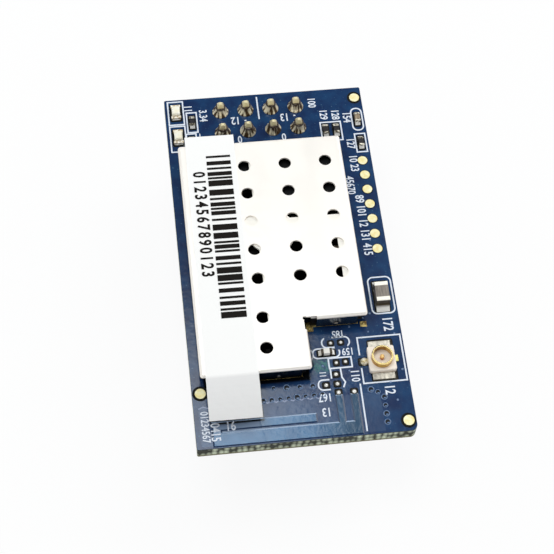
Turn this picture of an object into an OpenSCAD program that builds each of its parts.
// Plug-in wireless network module: a printed circuit board with a folded
// shielding can, a printed antenna, a coaxial antenna socket and a header.
//
// The board's own plane is the datum while the pieces are drawn: z = 0 is the
// top of the board, +y is the header end and -y the antenna end. Each piece is
// then moved into the part's frame, whose origin is the middle of the header
// where it seats on a host board.

/* [Board] */
// Width of the board, left to right
board_w = 20; // [19:0.25:26]
// Length of the board, antenna end to header end
board_l = 38; // [36:0.5:48]
// Thickness of the board
board_t = 1.6; // [0.8:0.1:2.4]
// Radius of the board's corners
board_corner_r = 0.15; // [0.05:0.05:1.2]
// Radius of the near right corner, which is filed rounder
board_filed_r = 0.6; // [0.2:0.1:1.5]
// Thickness of the bare copper and of the solder on it
land_t = 0.04; // [0.03:0.01:0.1]
// Thickness of the printed white ink
ink_t = 0.03; // [0.03:0.01:0.06]
// Height of the solder left standing on an empty land
land_dome_h = 0.12; // [0.05:0.01:0.2]
// Width of a printed white line
ink_line = 0.14; // [0.1:0.01:0.3]

/* [Pin header] */
// Distance between neighbouring pins
pin_pitch = 2.54; // [2:0.01:2.54]
// Number of pins along the board's far edge
pin_cols = 4; // [2:1:4]
// Side of the square pin
pin_side = 0.64; // [0.4:0.02:0.7]
// Length of pin that stands out below the header's body
pin_reach = 6; // [3:0.25:9]
// Height of the pins' tails above the board
pin_tail = 1.5; // [0.8:0.1:2]
// Height of the header's moulded body
header_h = 2.54; // [1.5:0.02:3.5]
// How far left of the board's middle the header stands
pin_shift = 0.63; // [0:0.01:0.8]
// Distance from the board's far edge to the first row of pins
pin_far = 1.84; // [1.4:0.02:2]
// Diameter of the plated hole round each pin
pin_hole_d = 1.02; // [1:0.01:1.2]
// Diameter of the solder cone's foot
solder_d = 1.6; // [1.3:0.05:1.9]

/* [Shielding can] */
// Gap between the can and the board's left edge
can_left_gap = 0.85; // [0.5:0.05:1.2]
// Gap between the can and the board's right edge
can_right_gap = 3.15; // [3:0.05:4]
// Gap between the can and the board's far edge
can_far_gap = 6.9; // [6.6:0.1:8]
// Gap between the can and the board's near edge
can_near_gap = 6.1; // [6:0.05:7]
// Height of the can above the board
can_h = 2; // [1.9:0.05:3]
// Width of the notch in the can's near right corner
notch_w = 5.8; // [5:0.1:6.4]
// Length of the narrow leg of the can
leg_l = 4.95; // [4.9:0.05:6]
// Thickness of the lid's sheet
lid_t = 0.2; // [0.1:0.01:0.25]
// Outside radius of the lid's folds
lid_bend_r = 0.3; // [0.26:0.01:0.4]
// Gap between the lid's skirt and the board
lid_lift = 0.3; // [0.1:0.05:0.5]
// Open length of the skirt at each corner
corner_open = 0.95; // [0.6:0.05:1.3]
// Length of one spring finger of the skirt
finger_l = 2.9; // [2:0.1:5]
// Width of the slit between two fingers
finger_slit = 0.3; // [0.2:0.05:0.5]
// Lean of the leg's right-hand finger, which was bent out a little
finger_flare = 14; // [0:1:20]
// Open length of the leg's skirt below the inner corner
leg_gap = 1.95; // [1:0.05:2.5]

/* [Vent holes] */
// Diameter of a vent hole
vent_d = 1.22; // [0.8:0.02:1.5]
// Distance between columns of vent holes
vent_pitch_x = 3.97; // [3:0.01:5]
// Distance between rows of vent holes
vent_pitch_y = 3.125; // [2.5:0.005:5]
// Distance from the can's left side to the first column
vent_left = 6.27; // [5.8:0.01:7]
// Distance from the can's far side to the first row
vent_far = 2.88; // [2:0.02:4]
// Distance from the can's near side to the last vent hole of the leg
vent_near = 2.4; // [1.5:0.1:3]

/* [Shield frame] */
// Thickness of the frame's sheet
frame_t = 0.2; // [0.1:0.01:0.25]
// Play between the frame and the lid's skirt
frame_play = 0.05; // [0.03:0.01:0.1]
// Width of the frame's rim
rim_w = 0.8; // [0.5:0.05:1]
// Width of the frame's rim on the right, beside the last rows of vents
rim_wide = 1.48; // [1:0.02:2]
// Diameter of the pick-up disc
pickup_d = 4.65; // [3:0.05:6]
// Width of the arms that carry the pick-up disc
arm_w = 1.9; // [1:0.1:2.5]

/* [Label] */
// Width of the label
label_w = 4.8; // [3:0.1:5.2]
// Length of the label that hangs past the can's near side
label_free = 4.05; // [2:0.05:5]
// Thickness of the label
label_t = 0.08; // [0.05:0.01:0.15]
// How far the label stands out past the can's far side
label_over = 0.85; // [0:0.05:2]
// Distance from the can's left side to the label
label_left = 0.75; // [0.6:0.05:1]
// Turn of the label on the can
label_turn = -0.6; // [-1:0.1:1]
// Droop of the label's free end
label_droop = 0.7; // [0:0.05:1]

/* [Antenna] */
// Width of the antenna's long outer trace
antenna_outer_w = 1.15; // [0.6:0.05:1.2]
// Width of the antenna's folded-back trace
antenna_inner_w = 0.68; // [0.4:0.02:0.8]
// Gap between the two traces
antenna_gap = 0.37; // [0.2:0.01:0.5]
// Gap between the outer trace and the board's near edge
antenna_edge = 0.2; // [0.15:0.01:0.3]
// Width of the feed strip and of the earth strip
antenna_strip_w = 0.52; // [0.3:0.02:0.6]

/* [Antenna socket] */
// Distance from the board's right edge to the socket's middle
socket_right = 2.32; // [2.28:0.01:2.5]
// Distance from the board's near edge to the socket's middle
socket_near = 7.15; // [6.8:0.05:7.4]
// Side of the socket's moulded base
socket_side = 2.5; // [2.3:0.05:2.7]
// Height of the socket's moulded base
socket_base_h = 0.55; // [0.4:0.05:0.7]
// Outside diameter of the socket's ring
socket_ring_d = 2; // [1.8:0.05:2.2]
// Wall of the socket's ring
socket_wall = 0.15; // [0.1:0.01:0.2]
// Height of the socket's ring above the board
socket_h = 1.25; // [1.1:0.05:1.5]
// Diameter of the socket's middle contact
socket_pin_d = 0.4; // [0.3:0.02:0.5]

/* [Outside parts] */
// Length of the large capacitor
bulk_l = 2; // [1.6:0.05:2.4]
// Width of the large capacitor
bulk_w = 1.25; // [0.9:0.05:1.3]
// Height of the large capacitor
bulk_h = 1.25; // [0.6:0.05:1.4]
// Length of a small chip part
chip_l = 1; // [0.8:0.05:1.1]
// Width of a small chip part
chip_w = 0.5; // [0.3:0.02:0.6]
// Height of a small chip resistor
resistor_h = 0.35; // [0.25:0.01:0.5]
// Height of a small chip capacitor
capacitor_h = 0.5; // [0.3:0.01:0.6]
// Length of an indicator light
led_l = 1.6; // [1.4:0.05:1.7]
// Width of an indicator light
led_w = 0.8; // [0.6:0.05:0.9]
// Height of an indicator light
led_h = 0.6; // [0.4:0.05:0.9]
// Diameter of a test pad
test_pad_d = 0.95; // [0.6:0.05:1.2]
// Distance between test pads
test_pad_pitch = 1.69; // [1.3:0.01:1.9]
// Diameter of a locating pad
locating_pad_d = 1; // [0.6:0.05:1.1]

/* [Inside parts] */
// Side of the radio chip
radio_side = 6; // [4:0.5:7]
// Height of the radio chip
radio_h = 0.9; // [0.6:0.05:1.1]
// Side of the memory chip's body
memory_side = 5.2; // [4:0.1:5.3]
// Height of the memory chip
memory_h = 1.3; // [0.8:0.05:1.45]
// Side of the power inductor
inductor_side = 3; // [2:0.1:3.2]
// Height of the power inductor
inductor_h = 1.2; // [0.8:0.05:1.4]
// Length of the main crystal
crystal_l = 3.2; // [2.5:0.1:3.4]
// Width of the main crystal
crystal_w = 2.5; // [2:0.1:2.6]
// Height of a crystal
crystal_h = 0.75; // [0.5:0.05:1]
// Width of the clock crystal
clock_w = 1.5; // [1:0.1:1.8]
// Side of the antenna switch
switch_side = 2; // [1.5:0.1:2.2]
// Length of the band filter
filter_l = 2; // [1.6:0.1:2.2]
// Width of the band filter
filter_w = 1.25; // [0.8:0.05:1.3]
// Width of the regulator's body
regulator_w = 1.6; // [1.2:0.1:1.7]
// Length of the regulator's body
regulator_l = 2.9; // [2:0.1:3]
// Height of the regulator
regulator_h = 1.1; // [0.7:0.05:1.3]
// Gap between neighbouring parts
part_gap = 0.5; // [0.3:0.05:0.6]

/* [Hidden] */

eps = 0.01;
$fn = 48;

// edges of the board
left_x = -board_w / 2;
right_x = board_w / 2;
far_y = board_l / 2;
near_y = -board_l / 2;

// first pin, and the middle of the header
pin_rows = 2;
pin_x0 = -pin_shift - (pin_cols - 1) * pin_pitch / 2;
pin_y0 = far_y - pin_far;
header_x = pin_x0 + (pin_cols - 1) * pin_pitch / 2;
header_y = pin_y0 - (pin_rows - 1) * pin_pitch / 2;
pin_places = [for (c = [0 : pin_cols - 1], r = [0 : pin_rows - 1])
              [pin_x0 + c * pin_pitch, pin_y0 - r * pin_pitch]];

// sides of the can
can_left = left_x + can_left_gap;
can_right = right_x - can_right_gap;
can_far = far_y - can_far_gap;
can_near = near_y + can_near_gap;
leg_right = can_right - notch_w;
notch_y = can_near + leg_l;
can_inside_h = can_h - lid_t - frame_t;

// corners of the can's outline moved in by d, anticlockwise from the near left
function can_outline(d) = [
    [can_left + d, can_near + d], [leg_right - d, can_near + d],
    [leg_right - d, notch_y + d], [can_right - d, notch_y + d],
    [can_right - d, can_far - d], [can_left + d, can_far - d]];
inner_corner = 2;

// vent holes: a grid over the wide part, and two more in the leg
vent_x0 = can_left + vent_left;
vent_y0 = can_far - vent_far;
vent_cols = floor((can_right - rim_w - vent_d / 2 - vent_x0) / vent_pitch_x) + 1;
vent_rows = floor((vent_y0 - notch_y - vent_pitch_y) / vent_pitch_y) + 1;
vent_last_y = can_near + vent_near;
vent_places = concat(
    [for (c = [0 : vent_cols - 1], r = [0 : vent_rows - 1])
     [vent_x0 + c * vent_pitch_x, vent_y0 - r * vent_pitch_y]],
    [for (r = [0, 1]) [vent_x0, vent_last_y + r * vent_pitch_y]]);

// pick-up disc of the frame, in the middle of the wide part
pickup_x = (can_left + can_right) / 2 + 0.1;
pickup_y = (can_far + notch_y) / 2 - 0.3;

// middle of the antenna socket
socket_x = right_x - socket_right;
socket_y = near_y + socket_near;

// reach of the legs and pads of the inside parts
radio_pad = 0.15;
memory_leg = 1.05;
regulator_leg = 0.6;

// line of the antenna's feed, which the matching parts keep to
net_x = leg_right + 2.26;

// places of the outside parts: x, y and turn, from the nearest board edges
far_corner_x = right_x - 0.78;
led_places = [[left_x + 1.08, far_y - 1.61], [left_x + 1.1, far_y - 4.6]];
led_turn = 90;
resistor_places = [
    [left_x + 2.61, far_y - 2.9, 90], [left_x + 2.38, far_y - 5.35, 90],
    [right_x - 4.13, far_y - 5.05, 90], [right_x - 3.05, far_y - 5.05, 90],
    [far_corner_x, far_y - 6.78, 90]];
capacitor_places = [[far_corner_x, far_y - 3.93, 90],
                    [net_x - 0.6, near_y + 8.37, 0]];
outside_chips = concat(resistor_places, capacitor_places);
bulk_x = right_x - 1.38;
bulk_y = near_y + 13.7;
bulk_land_l = 0.63;

// soldered lands that carry no part: x, y and size
empty_lands = [
    [net_x - 0.08, near_y + 9.33, 0.44, 0.4],
    [net_x + 0.87, near_y + 9.33, 0.44, 0.4],
    [net_x + 0.19, near_y + 7.3, 0.4, 0.5],
    [net_x + 1.05, near_y + 7.33, 0.4, 0.5],
    [net_x, near_y + 6.14, 0.5, 0.46],
    [net_x + 0.01, near_y + 5.18, 0.5, 0.46],
    [net_x - 1.04, near_y + 5.14, 0.5, 0.46],
    [net_x + 0.01, near_y + 4.32, 0.5, 0.5],
    [net_x + 1.44, near_y + 4.28, 0.5, 0.5]];

// antenna traces, worked out from the near edge
feed_x = net_x;
earth_x = net_x + 1.41;
antenna_right = earth_x + antenna_strip_w / 2;
antenna_left = left_x + 1.6;
outer_y0 = near_y + antenna_edge;
outer_y1 = outer_y0 + antenna_outer_w;
inner_y0 = outer_y1 + antenna_gap;
inner_y1 = inner_y0 + antenna_inner_w;
strip_y1 = near_y + 4.02;
inner_end_x = feed_x - 2.35;

// room under the can, inside the frame's walls
frame_in = lid_t + frame_play;
wall = frame_in + frame_t;
in_left = can_left + wall;
in_right = can_right - wall;
in_far = can_far - wall;
in_near = can_near + wall;
in_notch = notch_y + wall;
in_leg = leg_right - wall;

// places of the inside parts, packed part_gap apart from the room's corners:
// power parts far left, memory far right, radio in the middle, and the
// antenna's parts near the notch
inductor_x = in_left + part_gap + inductor_side / 2;
inductor_y = in_far - part_gap - inductor_side / 2;
regulator_x = inductor_x + inductor_side / 2 + part_gap + regulator_w / 2 + regulator_leg;
regulator_y = in_far - part_gap - regulator_l / 2;
memory_x = in_right - part_gap - memory_side / 2;
memory_y = in_far - part_gap - memory_leg - memory_side / 2;
memory_foot = memory_y - memory_side / 2 - memory_leg;
row_y = inductor_y - inductor_side / 2 - part_gap - chip_l / 2;
radio_x = in_left + part_gap + radio_pad + radio_side / 2;
radio_y = row_y - chip_l / 2 - part_gap - radio_pad - radio_side / 2;
column_x = radio_x + radio_side / 2 + radio_pad + part_gap + chip_l / 2;
chip_step = chip_w + 1.2 * part_gap;
crystal_x = in_right - part_gap - crystal_l / 2;
crystal_y = memory_foot - part_gap - crystal_w / 2;
under_crystal_y = crystal_y - crystal_w / 2 - part_gap - chip_w / 2;
switch_x = in_right - 2 * part_gap - chip_w - switch_side / 2;
switch_y = in_notch + part_gap + switch_side / 2;
switch_out = switch_side / 2 + part_gap + chip_w / 2;
clock_x = in_left + part_gap + crystal_l / 2;
clock_y = in_near + part_gap + clock_w / 2;
above_clock_y = clock_y + clock_w / 2 + part_gap + chip_w / 2;
filter_x = in_leg - part_gap - filter_l / 2;
filter_y = in_near + 2 * part_gap + chip_w + filter_w / 2;
filter_out = filter_w / 2 + part_gap + chip_w / 2;
inside_capacitor_places = concat(
    [for (i = [0 : 3]) [in_left + part_gap + chip_w / 2 + i * (chip_l + part_gap), row_y, 90]],
    [for (i = [0 : 3]) [column_x, memory_foot - part_gap - chip_w / 2 - i * chip_step, 0]],
    [for (s = [-1, 1]) [crystal_x + s * (chip_l + part_gap) / 2, under_crystal_y, 0]],
    [for (s = [-1, 1]) [switch_x + s * switch_out, switch_y, 90]],
    [[switch_x, switch_y + switch_out, 0]],
    [for (s = [-1, 1]) [filter_x, filter_y + s * filter_out, 0]]);
inside_resistor_places = concat(
    [for (i = [0 : 1], s = [-1, 1])
     [clock_x + s * (chip_l + part_gap) / 2, above_clock_y + i * chip_step, 0]],
    [[filter_x - filter_l / 2 - part_gap - chip_w / 2, filter_y, 90]]);

// colours
mask_blue = "midnightblue";
gold = "gold";
tin = "silver";
ink = "white";
ceramic_tan = "tan";
black_epoxy = [0.1, 0.1, 0.11];

// ---------------------------------------------------------------- helpers

// moves a piece from the board's plane into the part's own frame
module in_frame() {
    translate([-header_x, -header_y, board_t + header_h]) children();
}

module rounded_rect(w, l, r) {
    union() {
        square([w - 2 * r, l], center = true);
        square([w, l - 2 * r], center = true);
        for (x = [-1, 1], y = [-1, 1])
            translate([x * (w / 2 - r), y * (l / 2 - r)]) circle(r);
    }
}

// printed outline between two corners, with round or square corners
module ink_box(x0, y0, x1, y1, r = 0) {
    w = abs(x1 - x0);
    l = abs(y1 - y0);
    translate([(x0 + x1) / 2, (y0 + y1) / 2])
        difference() {
            if (r > 0) rounded_rect(w + ink_line, l + ink_line, r + ink_line / 2);
            else square([w + ink_line, l + ink_line], center = true);
            if (r > 0) rounded_rect(w - ink_line, l - ink_line, r - ink_line / 2);
            else square([w - ink_line, l - ink_line], center = true);
        }
}

module ink_stroke(x0, y0, x1, y1) {
    length = norm([x1 - x0, y1 - y0]);
    translate([x0, y0]) rotate(atan2(y1 - y0, x1 - x0))
        translate([0, -ink_line / 2]) square([length, ink_line]);
}

module block(w, l, h) {
    translate([-w / 2, -l / 2, 0]) cube([w, l, h]);
}

// a block whose upper edges are chamfered by c
module chamfered_block(w, l, h, c) {
    intersection() {
        block(w, l, h);
        rotate([90, 0, 0]) linear_extrude(l + 2, center = true)
            polygon([[-w / 2, 0], [w / 2, 0], [w / 2, h - c],
                     [w / 2 - c, h], [c - w / 2, h], [-w / 2, h - c]]);
        rotate([90, 0, 90]) linear_extrude(w + 2, center = true)
            polygon([[-l / 2, 0], [l / 2, 0], [l / 2, h - c],
                     [l / 2 - c, h], [c - l / 2, h], [-l / 2, h - c]]);
    }
}

// places its children on each [x, y, turn] of a list, lifted by z
module at_each(places, z) {
    for (p = places) translate([p[0], p[1], z]) rotate(p[2]) children();
}

// two-ended chip part: the ceramic between the ends, and the metal ends
chip_end = 0.22;
module chip_body(l, w, h, end) {
    translate([0, 0, land_t]) block(l - 2 * end, w, h);
}
module chip_ends(l, w, h, end) {
    wrap = 0.012;
    for (s = [-1, 1]) translate([s * (l - end) / 2, 0, land_t])
        chamfered_block(end, w + 2 * wrap, h + wrap, 0.03);
}

// concave solder fillet that climbs the end face of a chip part
module fillet(reach, w, climb) {
    rotate([90, 0, 0]) linear_extrude(w, center = true)
        difference() {
            polygon([[0, 0], [reach, 0], [reach, land_t], [0, climb]]);
            translate([reach + climb * 0.35, climb * 1.22])
                scale([1, 1]) circle(climb * 1.08);
        }
}

// ------------------------------------------------------------ the board

module circuit_board() color(mask_blue) in_frame() {
    difference() {
        translate([0, 0, -board_t])
            linear_extrude(board_t) rounded_rect(board_w, board_l, board_corner_r);
        translate([right_x - board_filed_r, near_y + board_filed_r, -board_t - 1])
            difference() {
                translate([0, -2 * board_filed_r, 0])
                    cube([2 * board_filed_r, 2 * board_filed_r, board_t + 2]);
                translate([0, 0, -1]) cylinder(r = board_filed_r, h = board_t + 4);
            }
        for (p = pin_places) translate([p[0], p[1], -board_t - 1])
            cylinder(d = pin_hole_d, h = board_t + 2);
    }
}

// printed inverted-F antenna: two strips, an outer trace and its folded end
module antenna_trace() color("steelblue") in_frame()
    linear_extrude(land_t) union() {
        for (x = [feed_x, earth_x])
            translate([x - antenna_strip_w / 2, outer_y0])
                square([antenna_strip_w, strip_y1 - outer_y0]);
        translate([antenna_left, outer_y0])
            square([antenna_right - antenna_left, antenna_outer_w]);
        translate([antenna_left, outer_y0])
            square([antenna_inner_w, inner_y1 - outer_y0]);
        translate([antenna_left, inner_y0])
            square([inner_end_x - antenna_left, antenna_inner_w]);
    }

module test_pads() color(gold) in_frame()
    for (i = [0 : 6])
        translate([right_x - 0.92, far_y - 8.89 - i * test_pad_pitch, 0])
            cylinder(d = test_pad_d, h = land_t);

module locating_pads() color(gold) in_frame()
    for (p = [[right_x - 0.7, far_y - 1.25], [right_x - 0.7, near_y + 1],
              [left_x + 0.77, near_y + 5.41]])
        translate([p[0], p[1], 0]) cylinder(d = locating_pad_d, h = land_t);

// low round heap of solder, standing on the board
module solder_dome(d, h) {
    rho = (d * d / 4 + h * h) / (2 * h);
    intersection() {
        translate([0, 0, h - rho]) sphere(rho);
        block(2 * d, 2 * d, 2 * h);
    }
}

module solder_lands() color(tin) in_frame() {
    for (p = empty_lands) translate([p[0], p[1], 0]) {
        linear_extrude(land_t) rounded_rect(p[2], p[3], 0.12);
        solder_dome(min(p[2], p[3]) - 0.06, land_t + land_dome_h);
    }
    // lands of the antenna socket: two earths and the signal
    for (s = [-1, 1])
        translate([socket_x + 0.1, socket_y + s * (socket_side / 2 + 0.25), 0])
            block(2.2, 1.1, land_t);
    translate([socket_x - socket_side / 2 - 0.35, socket_y, 0]) block(0.9, 0.6, land_t);
}

module silkscreen() color(ink) in_frame() linear_extrude(ink_t) {
    // boxes round the indicator lights and their resistors
    ink_box(left_x + 0.32, far_y - 3.04, left_x + 1.84, far_y - 0.26);
    difference() {
        ink_box(left_x + 0.32, far_y - 6.28, left_x + 1.84, far_y - 3.24);
        translate([can_left, can_far - 20]) square([20, 20]);
    }
    ink_box(left_x + 2.11, far_y - 4.08, left_x + 3.11, far_y - 1.7);
    ink_box(left_x + 1.9, far_y - 6.5, left_x + 2.87, far_y - 4.25);
    // divider between the pins
    ink_stroke(header_x, far_y - 0.32, header_x, far_y - 3.05);
    // boxes beside the far right corner
    ink_box(right_x - 4.57, far_y - 6.25, right_x - 2.52, far_y - 4.03);
    ink_box(right_x - 1.31, far_y - 5.25, right_x - 0.24, far_y - 2.6, 0.5);
    ink_box(right_x - 1.3, far_y - 7.87, right_x - 0.26, far_y - 5.69);
    // large capacitor and antenna socket
    ink_box(bulk_x - 1.02, bulk_y - 1.73, bulk_x + 1.15, bulk_y + 2.15, 0.5);
    difference() {
        ink_box(socket_x - 1.93, socket_y - 2.17, socket_x + 2.1, socket_y + 2.5);
        translate([socket_x - 3, socket_y - 0.6]) square([2, 1.3]);
    }
    // outlines of the matching parts
    difference() {
        union() {
            ink_box(net_x - 0.89, near_y + 8.9, net_x + 1.68, near_y + 9.9, 0.45);
            ink_box(net_x - 1.87, near_y + 7.89, net_x + 0.64, near_y + 8.85, 0.45);
        }
        translate([net_x + 0.24, near_y + 8.6]) square([1.2, 0.65]);
        translate([net_x - 0.61, near_y + 9.75]) square([0.7, 0.6]);
    }
    ink_box(net_x - 0.51, near_y + 6.77, net_x + 1.61, near_y + 7.8);
    ink_stroke(net_x - 0.45, near_y + 6.7, net_x - 0.45, near_y + 5.75);
    ink_stroke(net_x + 0.49, near_y + 6.7, net_x + 0.52, near_y + 5.75);
    ink_stroke(net_x + 0.52, near_y + 5.8, net_x + 0.79, near_y + 5.25);
    ink_stroke(net_x + 0.77, near_y + 5.3, net_x + 0.54, near_y + 4.8);
    difference() {
        ink_box(net_x - 1.74, near_y + 4.68, net_x + 0.39, near_y + 5.68, 0.45);
        translate([net_x - 0.66, near_y + 4]) square([2, 2.5]);
    }
    // edge of the antenna's clear area
    ink_stroke(net_x + 2.07, near_y + 0.3, net_x + 2.09, near_y + 5);
}

// --------------------------------------------------------- the pin header

header_w = pin_cols * pin_pitch;
header_l = pin_rows * pin_pitch;

module header_body() color("dimgray") in_frame()
    translate([header_x, header_y, -board_t - header_h])
        difference() {
            // one bevelled cell for each column of pins
            linear_extrude(header_h) union() {
                for (c = [0 : pin_cols - 1]) {
                    x = (c - (pin_cols - 1) / 2) * pin_pitch;
                    b = pin_pitch * 0.2;
                    polygon([
                        [x - pin_pitch / 2, b - header_l / 2],
                        [x - pin_pitch / 2 + b, -header_l / 2],
                        [x + pin_pitch / 2 - b, -header_l / 2],
                        [x + pin_pitch / 2, b - header_l / 2],
                        [x + pin_pitch / 2, header_l / 2 - b],
                        [x + pin_pitch / 2 - b, header_l / 2],
                        [x - pin_pitch / 2 + b, header_l / 2],
                        [x - pin_pitch / 2, header_l / 2 - b]]);
                }
            }
            for (p = pin_places)
                translate([p[0] - header_x, p[1] - header_y, -eps])
                    block(pin_side, pin_side, header_h + 2 * eps);
            // shallow channel between the rows on the board side
            translate([0, 0, header_h - 0.3])
                block(header_w + 1, 0.7, 1);
        }

// square pins with pointed ends
module pin_point(up) {
    tip = pin_side * 0.45;
    length = pin_side * 0.6;
    intersection() {
        rotate([90, 0, 0]) linear_extrude(pin_side, center = true)
            polygon([[-pin_side / 2, 0], [pin_side / 2, 0],
                     [tip / 2, up * length], [-tip / 2, up * length]]);
        rotate([90, 0, 90]) linear_extrude(pin_side, center = true)
            polygon([[-pin_side / 2, 0], [pin_side / 2, 0],
                     [tip / 2, up * length], [-tip / 2, up * length]]);
    }
}

module header_pins() color(gold) in_frame()
    for (p = pin_places) translate([p[0], p[1], 0]) {
        low = -board_t - header_h - pin_reach;
        point = pin_side * 0.6;
        translate([0, 0, low + point])
            block(pin_side, pin_side, pin_tail - low - 2 * point);
        translate([0, 0, pin_tail - point]) pin_point(1);
        translate([0, 0, low + point]) pin_point(-1);
    }

// solder that fills each hole and climbs the pin's tail in a hollow cone
module header_solder() color(tin) in_frame() {
    foot = [solder_d / 2, 0.1];
    neck = [pin_side * 0.74, pin_tail * 0.66];
    d = neck - foot;
    rho = 1.6 * norm(d);
    // middle of the hollow's arc, which passes through foot and neck
    mid = (foot + neck) / 2 + [d[1], -d[0]] / norm(d) * sqrt(rho * rho - d * d / 4);
    for (p = pin_places) translate([p[0], p[1], 0])
        difference() {
            rotate_extrude()
                difference() {
                    polygon([[0, -board_t], [pin_hole_d / 2, -board_t],
                             [pin_hole_d / 2, 0], [solder_d / 2, 0],
                             foot, neck, [0, neck[1] + 0.12]]);
                    translate(mid) circle(rho);
                }
            translate([0, 0, -board_t - 1])
                block(pin_side, pin_side, board_t + pin_tail + 2);
        }
}

// ------------------------------------------------------ the shielding can

// section of a folded side, outer face at x = 0, sheet to the +x side,
// its foot leaning out by lean degrees
module fold_section(t, r, low, top, lean = 0) {
    s = (top - r - low) * tan(lean);
    polygon([[-s, low], [t - s, low], [t, top - r], [0, top - r]]);
    intersection() {
        translate([r, top - r]) difference() {
            circle(r);
            circle(r - t);
        }
        translate([0, top - r]) square([r, r]);
    }
}

// one folded side from p to q, with the can's inside on its left hand
module folded_side(p, q, t, r, low, top) {
    d = q - p;
    translate([p[0], p[1], 0]) rotate(atan2(d[1], d[0]))
        rotate([90, 0, 90]) translate([0, 0, r])
            linear_extrude(norm(d) - 2 * r) fold_section(t, r, low, top);
}

// side that starts or ends in the inner corner of the L, where sheets meet
module side_of(points, i, t, r, low, top) {
    p = points[i];
    q = points[(i + 1) % 6];
    d = (q - p) / norm(q - p);
    from = i == inner_corner ? p - d * r : p;
    to = (i + 1) % 6 == inner_corner ? q + d * r : q;
    folded_side(from, to, t, r, low, top);
}

// rounded outer corners between two folds
module corner_caps(points, t, r, top) {
    turns = [180, 270, 0, 270, 0, 90];
    for (i = [0 : 5]) if (i != inner_corner) {
        p = points[i];
        sx = cos(turns[i] + 45) > 0 ? -1 : 1;
        sy = sin(turns[i] + 45) > 0 ? -1 : 1;
        translate([p[0] + sx * r, p[1] + sy * r, top - r])
            rotate(turns[i]) intersection() {
                difference() {
                    sphere(r);
                    sphere(r - t);
                }
                cube(r);
            }
    }
}

// places children on side i: +x along the side, +y into the can
module on_side(points, i) {
    p = points[i];
    q = points[(i + 1) % 6];
    translate([p[0], p[1], 0]) rotate(atan2(q[1] - p[1], q[0] - p[0])) children();
}

function side_length(points, i) = norm(points[(i + 1) % 6] - points[i]);

// middles of the spring fingers along side i
function finger_count(i) =
    max(1, floor((side_length(can_outline(0), i) - 2 * corner_open) / finger_l));
function finger_pitch(i) =
    (side_length(can_outline(0), i) - 2 * corner_open) / finger_count(i);
function finger_mids(i) = i == flare_side ? [] :
    [for (k = [0 : finger_count(i) - 1]) corner_open + (k + 0.5) * finger_pitch(i)];

dimple_r = 0.42;
dimple_out = 0.16;
dimple_z = can_h * 0.42;
slit_top = can_h * 0.62;
flare_side = 1;

module shield_lid() color([0.93, 0.92, 0.88]) in_frame() {
    outline = can_outline(0);
    difference() {
        union() {
            translate([0, 0, can_h - lid_t])
                linear_extrude(lid_t) polygon(can_outline(lid_bend_r));
            // the leg's right side: its fold, and one finger leaning out
            side_of(outline, flare_side, lid_t, lid_bend_r,
                    can_h - lid_bend_r - 0.05, can_h);
            on_side(outline, flare_side) translate([corner_open, 0, 0])
                rotate([90, 0, 90])
                    linear_extrude(side_length(outline, flare_side)
                                   - corner_open - leg_gap)
                        fold_section(lid_t, lid_bend_r, lid_lift, can_h,
                                     finger_flare);
            for (i = [0 : 5]) if (i != flare_side)
                difference() {
                    side_of(outline, i, lid_t, lid_bend_r, lid_lift, can_h);
                    // sprung dimples are pressed in from outside
                    on_side(outline, i)
                        for (x = finger_mids(i))
                            translate([x, -dimple_out, dimple_z])
                                sphere(dimple_r - lid_t * 0.6);
                }
            corner_caps(outline, lid_t, lid_bend_r, can_h);
            for (i = [0 : 5]) on_side(outline, i)
                for (x = finger_mids(i))
                    intersection() {
                        translate([x, -dimple_out, dimple_z])
                            difference() {
                                sphere(dimple_r);
                                sphere(dimple_r - lid_t * 0.6);
                            }
                        translate([x - 1, lid_t - eps, dimple_z - 1])
                            cube([2, 1, 2]);
                    }
        }
        // open corners of the skirt
        for (i = [0 : 5]) on_side(outline, i)
            for (x = [0, side_length(outline, i)])
                translate([x - corner_open, -1, 0])
                    cube([2 * corner_open, 1 + lid_t + eps, can_h - lid_bend_r]);
        // slits between the fingers
        for (i = [0 : 5]) on_side(outline, i)
            if (finger_count(i) > 1)
                for (k = [1 : finger_count(i) - 1])
                    translate([corner_open + k * finger_pitch(i) - finger_slit / 2,
                               -1, 0])
                        cube([finger_slit, 1 + lid_t + eps, slit_top]);
        // relief at the inner corner
        translate([leg_right - lid_t - eps, notch_y - 1, -eps])
            cube([corner_open + lid_t + 0.1, 1 + lid_bend_r - 0.05, can_h + 1]);
        // vent holes
        for (p = vent_places) translate([p[0], p[1], can_h - 1])
            cylinder(d = vent_d, h = 2);
    }
}

// soldered frame that the lid clips onto
frame_top = can_h - lid_t;
frame_bend_r = frame_t + 0.08;
frame_low = 2 * land_t;

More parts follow.
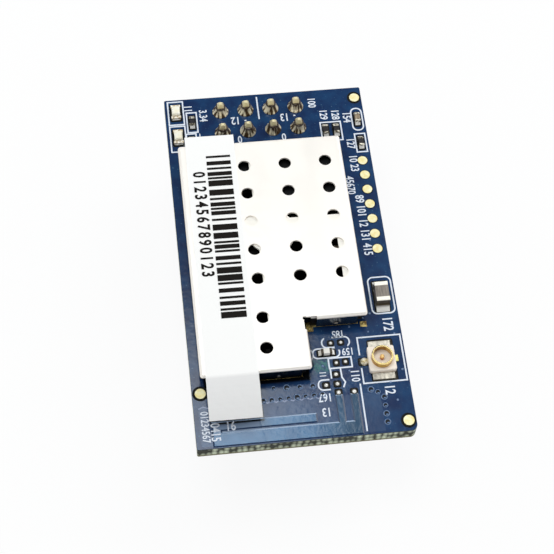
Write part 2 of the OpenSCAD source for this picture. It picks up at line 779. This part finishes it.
module shield_frame() color([0.75, 0.75, 0.76]) in_frame() {
    outline = can_outline(frame_in);
    rim = can_outline(frame_in + rim_w);
    arm_y = vent_y0 - 2 * vent_pitch_y;
    difference() {
        union() {
            for (i = [0 : 5])
                side_of(outline, i, frame_t, frame_bend_r, frame_low, frame_top);
            corner_caps(outline, frame_t, frame_bend_r, frame_top);
            // rim, wider on the right, and the web that carries the disc
            translate([0, 0, frame_top - frame_t]) linear_extrude(frame_t)
                intersection() {
                    polygon(can_outline(frame_in + frame_bend_r));
                    union() {
                        difference() {
                            polygon(outline);
                            polygon(rim);
                        }
                        translate([can_right - lid_t - rim_wide - frame_play, notch_y])
                            square([rim_wide + 1, arm_y + 0.15 - notch_y]);
                        translate([pickup_x, pickup_y]) circle(d = pickup_d);
                        translate([pickup_x, arm_y + 0.15 - arm_w])
                            square([can_right - pickup_x, arm_w]);
                        translate([can_left, arm_y - arm_w / 2])
                            square([pickup_x - can_left, arm_w]);
                        translate([pickup_x - 0.6 - arm_w * 0.4, notch_y - 1])
                            square([arm_w * 0.8, can_far - notch_y + 1]);
                    }
                }
        }
        // sockets for the lid's dimples
        for (i = [0 : 5]) on_side(can_outline(0), i)
            for (x = finger_mids(i))
                translate([x, 2 * frame_in + frame_t, dimple_z]) rotate([90, 0, 0])
                    cylinder(r = dimple_r, h = 2 * (frame_in + frame_t), $fn = 24);
        // open feet at the corners, and the relief at the inner corner
        for (p = outline) translate([p[0], p[1], -1])
            block(1.2, 1.2, 1 + can_h * 0.3);
        translate([leg_right - frame_in - 0.45, notch_y - 0.4, -1])
            cube([1.2, 1.1, can_h + 2]);
    }
}

// lands under the frame, broken where the sides turn
module shield_lands() color(gold) in_frame() {
    land_w = 0.5;
    linear_extrude(frame_low)
        for (i = [0 : 5]) {
            points = can_outline(frame_in + frame_t / 2);
            p = points[i];
            q = points[(i + 1) % 6];
            half = norm(q - p) / 2 - 0.45;
            translate((p + q) / 2) rotate(atan2(q[1] - p[1], q[0] - p[0]))
                square([2 * half, land_w], center = true);
        }
    // land and solder dome that show in the two corners of the notch
    for (p = [[leg_right + 0.45, notch_y - 0.08], [can_right - 0.3, notch_y - 0.02]])
        translate([p[0], p[1], 0]) {
            linear_extrude(land_t) square([0.62, 0.55], center = true);
            solder_dome(0.44, land_t + land_dome_h);
        }
}

// ---------------------------------------------------------------- label

label_x = can_left + label_left + label_w / 2;
label_far = can_far + label_over;
label_flat = can_far - can_near + label_over;

module label_section(t, from) {
    steps = 8;
    droop = label_droop;
    function drop(u) = droop * u * u;
    points = [for (k = [0 : steps]) let (u = k / steps)
              [label_flat + u * label_free, can_h - drop(u)]];
    polygon(concat([[0, can_h]], points,
                   [for (k = [steps : -1 : 0]) points[k] + [0, t]], [[0, can_h + t]]));
}

module on_label() {
    translate([label_x, label_far, 0]) rotate(label_turn)
        translate([0, 0, 0]) children();
}

module label() color("white") in_frame()
    on_label() rotate([0, 0, -90]) rotate([90, 0, 0])
        linear_extrude(label_w, center = true) label_section(label_t, 0);

// bars of mixed widths, from a simple rule that carries no data
bar_count = 27;
bar_unit = 0.165;
bar_l = 2.35;
bar_first = 2.35;
function bar_width(k) = bar_unit * (1.4 + 1.3 * ((k * k + 3 * k) % 7 % 3));
function bar_gap(k) = bar_unit * (1 + 0.8 * ((k * 5 + 2) % 11 % 3));
function bar_start(k) = k == 0 ? 0 : bar_start(k - 1) + bar_width(k - 1) + bar_gap(k - 1);
bar_span = 17.8;
bar_scale = bar_span / (bar_start(bar_count - 1) + bar_width(bar_count - 1));

module label_bars() color("black") in_frame()
    on_label() translate([0.7, 0, can_h + label_t])
        for (k = [0 : bar_count - 1])
            translate([-bar_l / 2, -bar_first - bar_scale * (bar_start(k) + bar_width(k)), 0])
                cube([bar_l, bar_scale * bar_width(k), ink_t]);

// -------------------------------------------------------- antenna socket

socket_ring_r = socket_ring_d / 2;
socket_floor = 0.3;
socket_foot_w = 2.05;

module ring_tube(h) {
    difference() {
        cylinder(r = socket_ring_r, h = h);
        translate([0, 0, -eps]) cylinder(r = socket_ring_r - socket_wall, h = h + 1);
    }
}

// what joins the ring to its feet inside the base, up to the given height
module socket_links(play, top) {
    translate([0, 0, 0.15 - play]) intersection() {
        ring_tube(top - 0.15 + play);
        block(1, 3, 2);
    }
    translate([socket_ring_r - socket_wall / 2, -0.3, 0.15])
        cube([socket_side / 2 + 0.3 - socket_ring_r + socket_wall / 2,
              0.6, socket_floor - 0.15]);
    // foot that the ring's wall stands on
    translate([0, 0, 0.15 - play - eps]) intersection() {
        ring_tube(2 * eps);
        block(1, 3, 2);
    }
}

module socket_base() color([0.95, 0.92, 0.84]) in_frame()
    translate([socket_x, socket_y, 0]) {
        difference() {
            translate([0, 0, land_t]) intersection() {
                chamfered_block(socket_side, socket_side, socket_base_h - land_t, 0.06);
                linear_extrude(2) rounded_rect(socket_side, socket_side, 0.2);
            }
            // seat of the metal ring and of its links to the feet
            translate([0, 0, socket_floor]) ring_tube(1);
            socket_links(eps, socket_floor + eps);
            translate([0, 0, -eps]) cylinder(d = socket_pin_d, h = 1);
            translate([-socket_side, -0.22, -eps])
                cube([socket_side + socket_pin_d / 2, 0.44, 0.15 + eps]);
            for (s = [-1, 1])
                translate([0, s * (socket_side / 2 - 0.2), -eps])
                    block(socket_foot_w + 0.05, 0.4 + eps, 0.15 + eps);
        }
    }

// stamped ring with its bevelled rim, on two earth feet and a side key
module socket_shell() color(gold) in_frame()
    translate([socket_x, socket_y, 0]) {
        difference() {
            translate([0, 0, socket_floor]) ring_tube(socket_h - socket_floor);
            translate([0, 0, socket_h]) rotate_extrude()
                translate([socket_ring_r, 0]) rotate(45) square(0.09, center = true);
        }
        socket_links(0, socket_floor);
        for (s = [-1, 1]) translate([0, s * (socket_side / 2 + 0.15), land_t])
            block(socket_foot_w, 1.06, 0.15 - land_t);
    }

// middle contact and its tail on the signal land
module socket_contact() color("goldenrod") in_frame()
    translate([socket_x, socket_y, 0]) {
        difference() {
            translate([0, 0, 0.15]) cylinder(d = socket_pin_d, h = socket_h - 0.4);
            translate([0, 0, socket_h - 0.28]) rotate_extrude()
                translate([socket_pin_d / 2, 0.05]) rotate(45) square(0.12, center = true);
        }
        translate([-socket_side / 2 - 0.65, -0.22, land_t])
            cube([socket_side / 2 + 0.65 + socket_pin_d / 2, 0.44, 0.15 - land_t]);
    }

// ------------------------------------------------------- outside parts

bulk_end = 0.42;
module bulk_capacitor() color([0.5, 0.46, 0.42]) in_frame()
    translate([bulk_x, bulk_y, 0]) rotate(90)
        chip_body(bulk_l, bulk_w, bulk_h, bulk_end);
module bulk_capacitor_ends() color(tin) in_frame()
    translate([bulk_x, bulk_y, 0]) rotate(90)
        chip_ends(bulk_l, bulk_w, bulk_h, bulk_end);

// indicator light: ceramic base, clear lens and two plated ends
led_end = 0.3;
led_base_h = led_h * 0.45;
module led_bases() color([0.93, 0.9, 0.82]) in_frame()
    for (p = led_places) translate([p[0], p[1], land_t]) rotate(led_turn)
        block(led_l - 2 * led_end, led_w, led_base_h);
module led_lenses() color([0.96, 0.93, 0.84]) in_frame()
    for (p = led_places) translate([p[0], p[1], land_t + led_base_h]) rotate(led_turn)
        chamfered_block(led_l - 2 * led_end, led_w, led_h - led_base_h, 0.1);
module led_ends() color([0.94, 0.92, 0.86]) in_frame()
    for (p = led_places) translate([p[0], p[1], land_t]) rotate(led_turn)
        for (s = [-1, 1]) translate([s * (led_l - led_end) / 2, 0, 0])
            block(led_end, led_w + 0.16, led_base_h);

module resistor_bodies() color([0.12, 0.11, 0.12]) in_frame()
    at_each(resistor_places, 0) chip_body(chip_l, chip_w, resistor_h, chip_end);
module resistor_ends() color(tin) in_frame()
    at_each(resistor_places, 0) chip_ends(chip_l, chip_w, resistor_h, chip_end);
module capacitor_bodies() color(ceramic_tan) in_frame()
    at_each(capacitor_places, 0) chip_body(chip_l, chip_w, capacitor_h, chip_end);
module capacitor_ends() color(tin) in_frame()
    at_each(capacitor_places, 0) chip_ends(chip_l, chip_w, capacitor_h, chip_end);

// solder at the ends of the outside parts
module solder_pair(l, w, reach, climb) {
    for (s = [0, 180]) rotate(s) translate([l / 2, 0, 0]) fillet(reach, w, climb);
    for (s = [-1, 1]) translate([s * (l / 2 - 0.15), 0, 0]) block(0.3, w, land_t);
}
module chip_solder() color(tin) in_frame() {
    at_each(outside_chips, 0) solder_pair(chip_l, chip_w, 0.28, 0.24);
    translate([bulk_x, bulk_y, 0]) rotate(90)
        solder_pair(bulk_l, bulk_w, bulk_land_l, 0.5);
    for (p = led_places) translate([p[0], p[1], 0]) rotate(led_turn)
        solder_pair(led_l, led_w, 0.12, 0.14);
}

// -------------------------------------------------------- inside parts

// a flat leadless package with a dimple at its first corner
module flat_package(side_x, side_y, h, lift) {
    difference() {
        translate([0, 0, lift]) block(side_x, side_y, h - lift);
        translate([0.7 - side_x / 2, side_y / 2 - 0.7, h - 0.05])
            cylinder(d = 0.5, h = 1, $fn = 24);
    }
}

// lead with an S bend, standing out along +x from x = 0
module gull_leg(out, top, w, t) {
    rotate([90, 0, 0]) linear_extrude(w, center = true)
        polygon([[0, top], [0, top + t], [out * 0.45 + t, top + t],
                 [out * 0.45 + t + 0.06, t], [out, t], [out, 0],
                 [out * 0.45 + 0.05, 0], [out * 0.45, top]]);
}

radio_pads_per_side = 12;
module radio_chip() color(black_epoxy) in_frame()
    translate([radio_x, radio_y, 0])
        flat_package(radio_side, radio_side, radio_h, 2 * land_t);
module radio_chip_pads() color(tin) in_frame()
    translate([radio_x, radio_y, 0]) linear_extrude(2 * land_t) {
        pitch = (radio_side - 1.2) / (radio_pads_per_side - 1);
        square(radio_side * 0.6, center = true);
        for (a = [0 : 90 : 270], k = [0 : radio_pads_per_side - 1])
            rotate(a) translate([radio_side / 2 + radio_pad - 0.3,
                                 (k - (radio_pads_per_side - 1) / 2) * pitch])
                square([0.6, pitch * 0.5], center = true);
    }

memory_leg_w = 0.42;
module memory_chip() color(black_epoxy) in_frame()
    translate([memory_x, memory_y, 0])
        flat_package(memory_side, memory_side, memory_h, 0.15);
module memory_chip_legs() color(tin) in_frame()
    translate([memory_x, memory_y, 0])
        for (a = [0, 180], k = [0 : 3])
            rotate(a + 90) translate([memory_side / 2, (k - 1.5) * memory_side / 4.1, 0])
                gull_leg(memory_leg, memory_h * 0.45, memory_leg_w, 0.15);

module crystal_base() color([0.25, 0.22, 0.2]) in_frame()
    translate([crystal_x, crystal_y, 0]) block(crystal_l, crystal_w, crystal_h * 0.5);
module crystal_lid() color(tin) in_frame()
    translate([crystal_x, crystal_y, crystal_h * 0.5])
        chamfered_block(crystal_l - 0.3, crystal_w - 0.3, crystal_h * 0.5, 0.08);
module clock_crystal() color([0.3, 0.28, 0.26]) in_frame()
    translate([clock_x, clock_y, 0]) block(crystal_l, clock_w, crystal_h);

module power_inductor() color([0.25, 0.25, 0.27]) in_frame()
    translate([inductor_x, inductor_y, 2 * land_t])
        difference() {
            chamfered_block(inductor_side, inductor_side, inductor_h, 0.2);
            // waist that holds the winding
            translate([0, 0, inductor_h * 0.3]) difference() {
                block(inductor_side + 1, inductor_side + 1, inductor_h * 0.35);
                translate([0, 0, -eps])
                    cylinder(d = inductor_side * 0.88, h = inductor_h, $fn = 48);
            }
        }
module inductor_ends() color(tin) in_frame()
    translate([inductor_x, inductor_y, 0])
        for (s = [-1, 1]) translate([s * (inductor_side / 2 - 0.3), 0, 0])
            block(0.8, inductor_side * 0.8, 2 * land_t);

module regulator() color(black_epoxy) in_frame()
    translate([regulator_x, regulator_y, 0.12])
        block(regulator_w, regulator_l, regulator_h - 0.12);
module regulator_legs() color(tin) in_frame()
    translate([regulator_x, regulator_y, 0]) {
        for (k = [-1, 0, 1]) translate([regulator_w / 2, k * regulator_l / 3.05, 0])
            gull_leg(regulator_leg, 0.5, 0.4, 0.13);
        for (k = [-1, 1]) rotate(180) translate([regulator_w / 2, k * regulator_l / 3.05, 0])
            gull_leg(regulator_leg, 0.5, 0.4, 0.13);
    }

module antenna_switch() color(black_epoxy) in_frame()
    translate([switch_x, switch_y, 0])
        flat_package(switch_side, switch_side, 0.6, 0);

module band_filter() color([0.55, 0.6, 0.66]) in_frame()
    translate([filter_x, filter_y, -land_t]) chip_body(filter_l, filter_w, 0.9, 0.3);
module band_filter_ends() color(tin) in_frame()
    translate([filter_x, filter_y, -land_t]) chip_ends(filter_l, filter_w, 0.9, 0.3);

module inside_capacitors() color(ceramic_tan) in_frame()
    at_each(inside_capacitor_places, -land_t)
        chip_body(chip_l, chip_w, capacitor_h, chip_end);
module inside_capacitor_ends() color(tin) in_frame()
    at_each(inside_capacitor_places, -land_t)
        chip_ends(chip_l, chip_w, capacitor_h, chip_end);
module inside_resistors() color([0.12, 0.11, 0.12]) in_frame()
    at_each(inside_resistor_places, -land_t)
        chip_body(chip_l, chip_w, resistor_h, chip_end);
module inside_resistor_ends() color(tin) in_frame()
    at_each(inside_resistor_places, -land_t)
        chip_ends(chip_l, chip_w, resistor_h, chip_end);

circuit_board();
antenna_trace();
test_pads();
locating_pads();
solder_lands();
silkscreen();
header_body();
header_pins();
header_solder();
shield_lands();
shield_frame();
shield_lid();
label();
label_bars();
socket_base();
socket_shell();
socket_contact();
bulk_capacitor();
bulk_capacitor_ends();
led_bases();
led_lenses();
led_ends();
resistor_bodies();
resistor_ends();
capacitor_bodies();
capacitor_ends();
chip_solder();
radio_chip();
radio_chip_pads();
memory_chip();
memory_chip_legs();
crystal_base();
crystal_lid();
clock_crystal();
power_inductor();
inductor_ends();
regulator();
regulator_legs();
antenna_switch();
band_filter();
band_filter_ends();
inside_capacitors();
inside_capacitor_ends();
inside_resistors();
inside_resistor_ends();
